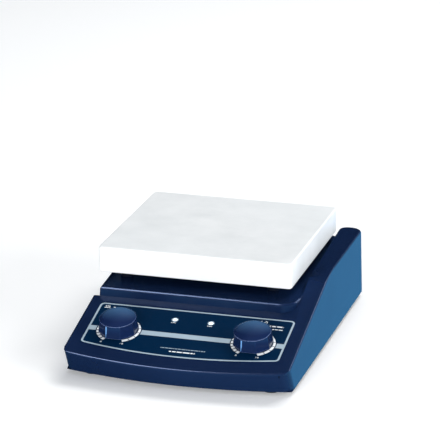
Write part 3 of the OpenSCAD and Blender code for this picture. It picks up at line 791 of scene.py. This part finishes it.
def fillet(points, radius, arc_steps=6):
    """A closed outline with each of its crisp corners turned into an arc."""
    rounded = []
    count = len(points)
    for i, corner in enumerate(points):
        here = Vector(corner)
        before = (Vector(points[i - 1]) - here).normalized()
        after = (Vector(points[(i + 1) % count]) - here).normalized()
        turn = math.pi - before.angle(after)
        if turn < math.radians(15):
            rounded.append(corner)
            continue
        middle = here + (before + after).normalized() * (radius / math.cos(turn / 2))
        start = here + before * radius * math.tan(turn / 2) - middle
        end = here + after * radius * math.tan(turn / 2) - middle
        for k in range(arc_steps + 1):
            share = k / arc_steps
            blend = (start * math.sin((1 - share) * turn) + end * math.sin(share * turn))
            rounded.append(tuple(middle + blend / math.sin(turn)))
    return rounded


def add_strip(build, left, right, closed=False):
    """A slim raised strip of ink between two lines of points on the panel."""
    low, high = SURFACE - 0.05 * MM, SURFACE + sizes().ink_height
    lines = [[build.verts.new(PANEL @ Vector((x, y, z))) for x, y in line]
             for line, z in ((left, low), (left, high), (right, high), (right, low))]
    count = len(left)
    for i in range(count if closed else count - 1):
        after = (i + 1) % count
        for first, second in zip(lines, lines[1:] + lines[:1]):
            build.faces.new((first[i], first[after], second[after], second[i]))
    if not closed:
        for i in (0, count - 1):
            build.faces.new([line[i] for line in lines])


def add_stroke(build, path, width, centre=(0, 0), closed=False):
    """A pen stroke of one width along a path."""
    left, right = [], []
    count = len(path)
    for i, (x, y) in enumerate(path):
        ahead = path[(i + 1) % count] if closed or i + 1 < count else path[i]
        behind = path[i - 1] if closed or i else path[i]
        along = Vector((ahead[0] - behind[0], ahead[1] - behind[1])).normalized()
        side = Vector((-along.y, along.x)) * width / 2
        left.append((centre[0] + x + side.x, centre[1] + y + side.y))
        right.append((centre[0] + x - side.x, centre[1] + y - side.y))
    add_strip(build, left, right, closed)


def on_dial(radius, degrees, centre):
    """A point on a dial, by degrees clockwise from its top."""
    turn = math.radians(degrees)
    return (centre + radius * math.sin(turn), radius * math.cos(turn))


def add_dial(build, centre):
    """The scale round a knob: fine steps up the left side, a thickening sweep down the right."""
    outer = sizes().dial_radius
    for k in range(13):
        start = -152 + 13.6 * k
        angles = [start + 9.8 * part / 4 for part in range(5)]
        add_strip(build, [on_dial(outer, angle, centre) for angle in angles],
                  [on_dial(outer - 2.9 * MM, angle, centre) for angle in angles])
    for k in range(6):
        start = 34 + 20.5 * k
        angles = [start + 18.2 * part / 8 for part in range(9)]
        inner = [outer - (1.3 + 2.0 * (angle - 34) / 123) * MM for angle in angles]
        add_strip(build, [on_dial(outer, angle, centre) for angle in angles],
                  [on_dial(radius, angle, centre) for radius, angle in zip(inner, angles)])


def add_digit(build, digit, centre, height):
    width = 0.22 * height
    if digit == "1":
        add_stroke(build, [(-0.18 * height, 0.28 * height), (0, 0.5 * height),
                           (0, -0.5 * height)], width * 0.8, centre)
        return
    ring = [(0.30 * height * math.sin(math.tau * k / 14),
             0.42 * height * math.cos(math.tau * k / 14)) for k in range(14)]
    add_stroke(build, ring, width, centre, closed=True)


def add_heat_sign(build, centre, height):
    """Three rising waves over a bar."""
    for offset in (-0.45, 0, 0.45):
        wave = [(offset * height + 0.10 * height * math.sin(math.tau * k / 10),
                 height * (-0.22 + 0.8 * k / 10)) for k in range(11)]
        add_stroke(build, wave, 0.13 * height, centre)
    add_stroke(build, [(-0.75 * height, -0.45 * height), (0.75 * height, -0.45 * height)],
               0.18 * height, centre)


def add_stir_sign(build, centre, height):
    """A stirring bar inside two chasing arcs."""
    add_stroke(build, [(-0.32 * height, 0), (0.32 * height, 0)], 0.26 * height, centre)
    for start in (20, 200):
        arc = [(0.62 * height * math.sin(math.radians(start + 14 * k)),
                0.5 * height * math.cos(math.radians(start + 14 * k))) for k in range(10)]
        add_stroke(build, arc, 0.13 * height, centre)


def add_dashes(build, start, end, height, level):
    """A row of plain dashes of uneven length."""
    x, k = start, 0
    while x < end:
        length = height * (1.3 + 0.9 * ((5 * k) % 4))
        stop = min(x + length, end)
        add_stroke(build, [(x, level), (stop, level)], height)
        x, k = stop + 0.55 * height, k + 1


def make_print():
    measure = sizes()
    pale, white = bmesh.new(), bmesh.new()
    edge = 0.35 * MM
    add_strip(pale, film_loop(edge, 4.2 * MM),
              film_loop(edge + measure.border_width, 2.6 * MM), closed=True)
    levels = [measure.stripe_width * (k / 10 - 0.5) for k in range(11)]
    clear = measure.dial_radius + 0.9 * MM
    reach = [math.sqrt(clear * clear - y * y) for y in levels]
    wall = HALF - edge - measure.border_width + 0.1 * MM
    ends = [(-wall, None, -KNOB_HALF, -1), (-KNOB_HALF, 1, KNOB_HALF, -1),
            (KNOB_HALF, 1, wall, None)]
    for start, start_side, stop, stop_side in ends:
        first = [(start + (start_side or 0) * r, y) for r, y in zip(reach, levels)]
        last = [(stop + (stop_side or 0) * r, y) for r, y in zip(reach, levels)]
        add_strip(pale, first, last)
    for centre in (-KNOB_HALF, KNOB_HALF):
        add_dial(white, centre)
        add_digit(white, "0", (centre - 10.2 * MM, -20.3 * MM), 1.9 * MM)
        add_digit(white, "1", (centre + 7.4 * MM, -20.3 * MM), 1.9 * MM)
        add_digit(white, "0", (centre + 9.2 * MM, -20.3 * MM), 1.9 * MM)
    add_heat_sign(white, (-KNOB_HALF - 20.5 * MM, 34.6 * MM), 3.6 * MM)
    add_dashes(white, -KNOB_HALF - 15 * MM, -KNOB_HALF - 3.5 * MM, 1.5 * MM, 34.2 * MM)
    add_stir_sign(white, (KNOB_HALF + 1.0 * MM, 33.6 * MM), 5.0 * MM)
    add_dashes(white, KNOB_HALF + 6.5 * MM, KNOB_HALF + 20 * MM, 1.6 * MM, 29.0 * MM)
    add_dashes(white, KNOB_HALF + 11 * MM, KNOB_HALF + 20 * MM, 1.2 * MM, 24.4 * MM)
    add_dashes(pale, -17 * MM, 23 * MM, 0.9 * MM, -19.8 * MM)
    add_dashes(white, -8 * MM, 15 * MM, 1.5 * MM, -24.4 * MM)
    lamp_low, lamp_high = (PANEL.inverted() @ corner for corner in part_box("lamp_lenses"))
    for side in (-1, 1):
        x = side * (lamp_high.x - lamp_low.x - 2 * 2.1 * MM) / 2
        y = (lamp_low.y + lamp_high.y) / 2
        ring = [(2.7 * MM * math.sin(math.tau * k / 28), 2.7 * MM * math.cos(math.tau * k / 28))
                for k in range(28)]
        add_stroke(pale, ring, 0.7 * MM, (x, y), closed=True)
        add_dashes(white, x - 2.2 * MM, x + 2.2 * MM, 0.8 * MM, y - 4.8 * MM)
    place_piece("printed_frame", finish_mesh("printed_frame", pale), ["control_overlay"], "ink")
    place_piece("printed_marks", finish_mesh("printed_marks", white), ["control_overlay"],
                "white_ink")


def make_lamps():
    """Two domed lenses, each over a short stem."""
    build = bmesh.new()
    low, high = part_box("lamp_lenses")
    stem, ball, drop = 2.08 * MM, 3.1 * MM, 2.3 * MM
    local = [PANEL.inverted() @ corner for corner in (low, high)]
    level = (local[0].y + local[1].y) / 2
    for side in (-1, 1):
        x = side * ((high.x - low.x) / 2 - stem)
        where = PANEL @ Matrix.Translation((x, level, 0))
        rings = [circle_ring(stem, -2.7 * MM, 32), circle_ring(stem, 0.02 * MM, 32)]
        for k in range(1, 8):
            radius = stem * math.cos(math.pi / 2 * k / 8)
            rings.append(circle_ring(radius, math.sqrt(ball * ball - radius * radius) - drop, 32))
        skin_rings(build, rings, where)
    piece = place_piece("lamp_domes", finish_mesh("lamp_domes", build), ["lamp_lenses"])
    replace_nodes(piece, "lamp_lenses")


# ---- knobs ----

DOME_RISE = 5.8 * MM


def skirt_loop(corner_radius, soft):
    """An eight-sided outline with a flat towards the user and softened corners."""
    crisp = [(corner_radius * math.sin(math.radians(22.5 + 45 * k)),
              corner_radius * math.cos(math.radians(22.5 + 45 * k))) for k in range(8)]
    loop = fillet(crisp, soft, 4)
    dense = []
    for i, (x, y) in enumerate(loop):
        after = loop[(i + 1) % len(loop)]
        parts = 8 if math.dist((x, y), after) > 4 * MM else 1
        dense += [(x + (after[0] - x) * k / parts, y + (after[1] - y) * k / parts)
                  for k in range(parts)]
    return dense


def round_like(loop, radius):
    """A circle with its points in the same directions as those of a loop."""
    return [(x / math.hypot(x, y) * radius, y / math.hypot(x, y) * radius) for x, y in loop]


def make_knob(name, node, joint):
    where = Matrix.Translation(joint_place(joint)) @ PANEL.to_3x3().to_4x4()
    local = [where.inverted() @ vert.co for vert in NODES[node].data.vertices]
    foot = min(point.z for point in local)
    crown = max(point.z for point in local)
    base = max(math.hypot(point.x, point.y) for point in local)
    shoulder = crown - DOME_RISE
    cap = max(math.hypot(point.x, point.y) for point in local
              if point.z > shoulder - 0.5 * MM)
    ledge = shoulder - 0.6 * MM
    soft = 1.2 * MM
    bottom, top = skirt_loop(base, soft), skirt_loop(cap - 0.25 * MM, soft)
    tight = skirt_loop(base - 0.35 * MM, soft)

    def at(loop, height):
        return [(x, y, height) for x, y in loop]

    def disc(radius, height):
        return at(round_like(bottom, radius), height)

    ball = (cap * cap + DOME_RISE * DOME_RISE) / (2 * DOME_RISE)
    rings = [disc(4.55 * MM, foot + 11 * MM), disc(4.55 * MM, foot + 1.8 * MM),
             disc(6.2 * MM, foot + 1.8 * MM), disc(6.2 * MM, foot + 6.5 * MM),
             disc(12 * MM, foot + 6.5 * MM), disc(12 * MM, foot),
             at(tight, foot), at(bottom, foot + 0.35 * MM), at(top, ledge + 0.02 * MM),
             disc(cap - 0.28 * MM, ledge + 0.03 * MM), disc(cap - 0.08 * MM, ledge + 0.14 * MM),
             disc(cap, ledge + 0.34 * MM), disc(cap - 0.06 * MM, shoulder - 0.08 * MM)]
    for k in range(1, 20):
        radius = cap * math.cos(math.pi / 2 * k / 20)
        height = crown - ball + math.sqrt(ball * ball - radius * radius)
        rings.append(disc(radius, height))
    build = bmesh.new()
    skin_rings(build, rings, where)
    piece = place_piece(name, finish_mesh(name, build, 30.0), [node])
    replace_nodes(piece, node)


def make_knobs():
    make_knob("heat_knob", "knob_heat", "heat_dial_turn")
    make_knob("speed_knob", "knob_speed", "speed_dial_turn")


# ---- underside and back ----

def make_underside():
    softened("bench_feet", "rubber_feet", 0.0007)
    softened("bottom_cover", "base_cover", 0.0003, segments=2)


def make_rear_panel():
    softened("mains_inlet", "power_inlet", 0.0005)
    softened("fuse_tray_front", "fuse_drawer", 0.0004)
    softened("rocker_bezel", "rocker_frame", 0.0005)
    softened("rocker_key", "power_rocker", 0.0005)
    softened("rod_socket_insert", "rod_insert", 0.0003, segments=2)


def dress_inner_nodes():
    """Gives each CAD node that stays in view its own finish."""
    for name, node in NODES.items():
        if not node.hide_render:
            for place in node.material_slots:
                place.material = material_for(SLOTS[name])


# ---- stage ----

def make_floor():
    mesh = bpy.data.meshes.new("studio_floor")
    build = bmesh.new()
    bmesh.ops.create_grid(build, x_segments=2, y_segments=2, size=9.0)
    build.to_mesh(mesh)
    build.free()
    floor = bpy.data.objects.new("studio_floor", mesh)
    bpy.context.scene.collection.objects.link(floor)
    material, _, shader = start_material("Studio Floor", colours().stage_white, 0.7,
                                         specular=0.1)
    shader.inputs["Emission Color"].default_value = (1, 1, 1, 1)
    shader.inputs["Emission Strength"].default_value = 0.15
    floor.data.materials.append(material)
    floor.visible_glossy = False


def make_camera():
    """A long lens to the front right of the stirrer and a little above its plate."""
    azimuth, elevation, roll = math.radians(15.19), math.radians(17.49), math.radians(0.465)
    distance, lens = 2.431, 217.6
    low, high = PLATE_BOX
    target = Vector(((low.x + high.x) / 2, (low.y + high.y) / 2, high.z))
    back = Vector((math.sin(azimuth) * math.cos(elevation),
                   -math.cos(azimuth) * math.cos(elevation), math.sin(elevation)))
    right = Vector((math.cos(azimuth), math.sin(azimuth), 0))
    up = back.cross(right)
    side = right * math.cos(roll) + up * math.sin(roll)
    head = up * math.cos(roll) - right * math.sin(roll)
    data = bpy.data.cameras.new("product_camera")
    data.lens = lens
    data.clip_end = 60.0
    camera = bpy.data.objects.new("product_camera", data)
    bpy.context.scene.collection.objects.link(camera)
    place = target + back * distance - right * 0.00044 + up * 0.005694
    camera.matrix_world = Matrix(
        ((side.x, head.x, back.x, place.x), (side.y, head.y, back.y, place.y),
         (side.z, head.z, back.z, place.z), (0, 0, 0, 1)))
    bpy.context.scene.camera = camera


def area_light(name, place, aim, size, power, colour=(1, 1, 1)):
    data = bpy.data.lights.new(name, "AREA")
    data.shape = "RECTANGLE"
    data.size, data.size_y = size
    data.energy = power
    data.color = colour
    lamp = bpy.data.objects.new(name, data)
    bpy.context.scene.collection.objects.link(lamp)
    direction = Vector(aim) - Vector(place)
    lamp.matrix_world = (Matrix.Translation(place)
                         @ direction.to_track_quat("-Z", "Y").to_matrix().to_4x4())
    return lamp


def make_lights():
    """Big soft fills that leave no mirror image, and boxes that only draw the housing's edges."""
    for name, place, size, power, colour in (
            ("front_fill", (-0.25, -2.4, 0.6), (1.6, 1.0), 50, (1, 1, 1)),
            ("overhead_fill", (0.5, 1.2, 2.0), (1.8, 1.2), 38, (1, 1, 1)),
            ("right_fill", (2.2, -0.6, 0.8), (1.2, 1.2), 34, (0.97, 0.99, 1))):
        fill = area_light(name, place, (0, 0, 0.05), size, power, colour)
        fill.visible_glossy = False
    edges = bpy.data.collections.new("edge_lit")
    edges.objects.link(bpy.data.objects["housing_body"])
    for name, place, aim, size, power in (
            ("lip_box", (-0.86, -0.75, 1.65), (-0.86, 0.05, 0), (0.96, 1.3), 90),
            ("arm_box", (1.2, 1.7, 1.0), (0, 0, 0.05), (0.8, 0.8), 10)):
        box = area_light(name, place, aim, size, power, (0.52, 0.66, 1))
        box.visible_diffuse = False
        box.light_linking.receiver_collection = edges
    caps = bpy.data.collections.new("cap_lit")
    for name in ("heat_knob", "speed_knob"):
        caps.objects.link(bpy.data.objects[name])
    spark = area_light("cap_strip", (-1.6, -1.1, 0.55), (0, 0, 0.05), (0.5, 0.9), 14)
    spark.visible_diffuse = False
    spark.light_linking.receiver_collection = caps


def make_world():
    """A white room to the camera, dim soft light, and a blue-grey sweep in the reflections."""
    world = bpy.data.worlds.new("studio")
    bpy.context.scene.world = world
    world.use_nodes = True
    tree = world.node_tree
    tree.nodes.clear()
    place = add_node(tree, "ShaderNodeTexCoord")
    split = add_node(tree, "ShaderNodeSeparateXYZ")
    link(tree, place.outputs["Generated"], split.inputs[0])
    sweep = add_node(tree, "ShaderNodeValToRGB")
    height = add_node(tree, "ShaderNodeMapRange")
    height.inputs["From Min"].default_value = -1.0
    link(tree, split.outputs["Z"], height.inputs["Value"])
    link(tree, height.outputs[0], sweep.inputs["Fac"])
    stops = sweep.color_ramp.elements
    stops[0].position, stops[0].color = 0.0, (0.05, 0.16, 0.40, 1)
    stops[1].position, stops[1].color = 1.0, (0.10, 0.12, 0.16, 1)
    for position, colour in ((0.30, (0.12, 0.50, 1.0, 1)), (0.47, (0.18, 0.72, 1.35, 1)),
                             (0.53, (0.05, 0.07, 0.12, 1)), (0.85, (0.02, 0.025, 0.05, 1))):
        stop = stops.new(position)
        stop.color = colour
    out = add_node(tree, "ShaderNodeOutputWorld")
    seen = add_node(tree, "ShaderNodeBackground", Strength=1.0)
    seen.inputs["Color"].default_value = (1, 1, 1, 1)
    soft = add_node(tree, "ShaderNodeBackground", Strength=0.26)
    soft.inputs["Color"].default_value = (0.86, 0.93, 1.0, 1)
    mirrored = add_node(tree, "ShaderNodeBackground", Strength=1.0)
    link(tree, sweep.outputs["Color"], mirrored.inputs["Color"])
    turned = add_node(tree, "ShaderNodeVectorMath", operation="DOT_PRODUCT")
    turned.inputs[1].default_value = (1.0, -0.3, 0.0)
    link(tree, place.outputs["Generated"], turned.inputs[0])
    side = add_node(tree, "ShaderNodeMapRange")
    for label, value in (("From Min", -0.42), ("From Max", -0.14), ("To Min", 0.12),
                         ("To Max", 0.96)):
        side.inputs[label].default_value = value
    link(tree, turned.outputs["Value"], side.inputs["Value"])
    link(tree, side.outputs[0], mirrored.inputs["Strength"])
    path = add_node(tree, "ShaderNodeLightPath")
    glossy = add_node(tree, "ShaderNodeMixShader")
    link(tree, path.outputs["Is Glossy Ray"], glossy.inputs[0])
    link(tree, soft.outputs[0], glossy.inputs[1])
    link(tree, mirrored.outputs[0], glossy.inputs[2])
    mix = add_node(tree, "ShaderNodeMixShader")
    link(tree, path.outputs["Is Camera Ray"], mix.inputs[0])
    link(tree, glossy.outputs[0], mix.inputs[1])
    link(tree, seen.outputs[0], mix.inputs[2])
    link(tree, mix.outputs[0], out.inputs["Surface"])


# ---- operators ----

class STIRRER_OT_housing(bpy.types.Operator):
    """Builds the rounded navy housing"""
    bl_idname = "stirrer.housing"
    bl_label = "Housing"

    def execute(self, context):
        make_housing()
        return {"FINISHED"}


class STIRRER_OT_plate(bpy.types.Operator):
    """Builds the white ceramic hot plate"""
    bl_idname = "stirrer.plate"
    bl_label = "Hot plate"

    def execute(self, context):
        make_plate()
        return {"FINISHED"}


class STIRRER_OT_print(bpy.types.Operator):
    """Prints the border, the stripe, the dials and the plain signs on the panel"""
    bl_idname = "stirrer.print"
    bl_label = "Panel print"

    def execute(self, context):
        softened("panel_film", "control_overlay", 0.00012, segments=2)
        make_print()
        return {"FINISHED"}


class STIRRER_OT_lamps(bpy.types.Operator):
    """Builds the two domed lamp lenses"""
    bl_idname = "stirrer.lamps"
    bl_label = "Lamps"

    def execute(self, context):
        make_lamps()
        return {"FINISHED"}


class STIRRER_OT_knobs(bpy.types.Operator):
    """Builds the two eight-sided knobs with round caps"""
    bl_idname = "stirrer.knobs"
    bl_label = "Knobs"

    def execute(self, context):
        make_knobs()
        return {"FINISHED"}


class STIRRER_OT_underside(bpy.types.Operator):
    """Builds the bottom cover and the rubber feet"""
    bl_idname = "stirrer.underside"
    bl_label = "Underside"

    def execute(self, context):
        make_underside()
        return {"FINISHED"}


class STIRRER_OT_rear_panel(bpy.types.Operator):
    """Builds the inlet, its fuse tray, the rocker switch and the rod socket"""
    bl_idname = "stirrer.rear_panel"
    bl_label = "Rear panel"

    def execute(self, context):
        make_rear_panel()
        return {"FINISHED"}


class STIRRER_OT_inner_parts(bpy.types.Operator):
    """Finishes the CAD parts that stay in view"""
    bl_idname = "stirrer.inner_parts"
    bl_label = "Inner parts"

    def execute(self, context):
        dress_inner_nodes()
        return {"FINISHED"}


class STIRRER_OT_stage(bpy.types.Operator):
    """Builds the pale floor, the soft lights and the camera"""
    bl_idname = "stirrer.stage"
    bl_label = "Stage"

    def execute(self, context):
        context.scene.view_settings.view_transform = "Standard"
        make_camera()
        make_floor()
        make_lights()
        make_world()
        return {"FINISHED"}


PIECE_OPERATORS = (
    STIRRER_OT_housing, STIRRER_OT_plate, STIRRER_OT_print, STIRRER_OT_lamps,
    STIRRER_OT_knobs, STIRRER_OT_underside, STIRRER_OT_rear_panel, STIRRER_OT_inner_parts,
    STIRRER_OT_stage)


class STIRRER_PT_pieces(bpy.types.Panel):
    bl_label = "Magnetic stirrer"
    bl_idname = "STIRRER_PT_pieces"
    bl_space_type = "VIEW_3D"
    bl_region_type = "UI"
    bl_category = "Stirrer"

    def draw(self, context):
        for operator in PIECE_OPERATORS:
            self.layout.operator(operator.bl_idname)


CLASSES = (StirrerSizes, StirrerColours, *PIECE_OPERATORS, STIRRER_PT_pieces)


def register():
    for each in CLASSES:
        bpy.utils.register_class(each)
    bpy.types.Scene.stirrer_sizes = PointerProperty(type=StirrerSizes)
    bpy.types.Scene.stirrer_colours = PointerProperty(type=StirrerColours)


def unregister():
    del bpy.types.Scene.stirrer_colours
    del bpy.types.Scene.stirrer_sizes
    for each in reversed(CLASSES):
        bpy.utils.unregister_class(each)


def main():
    register()
    for operator in PIECE_OPERATORS:
        group, name = operator.bl_idname.split(".")
        getattr(getattr(bpy.ops, group), name)()


if __name__ == "__main__":
    main()
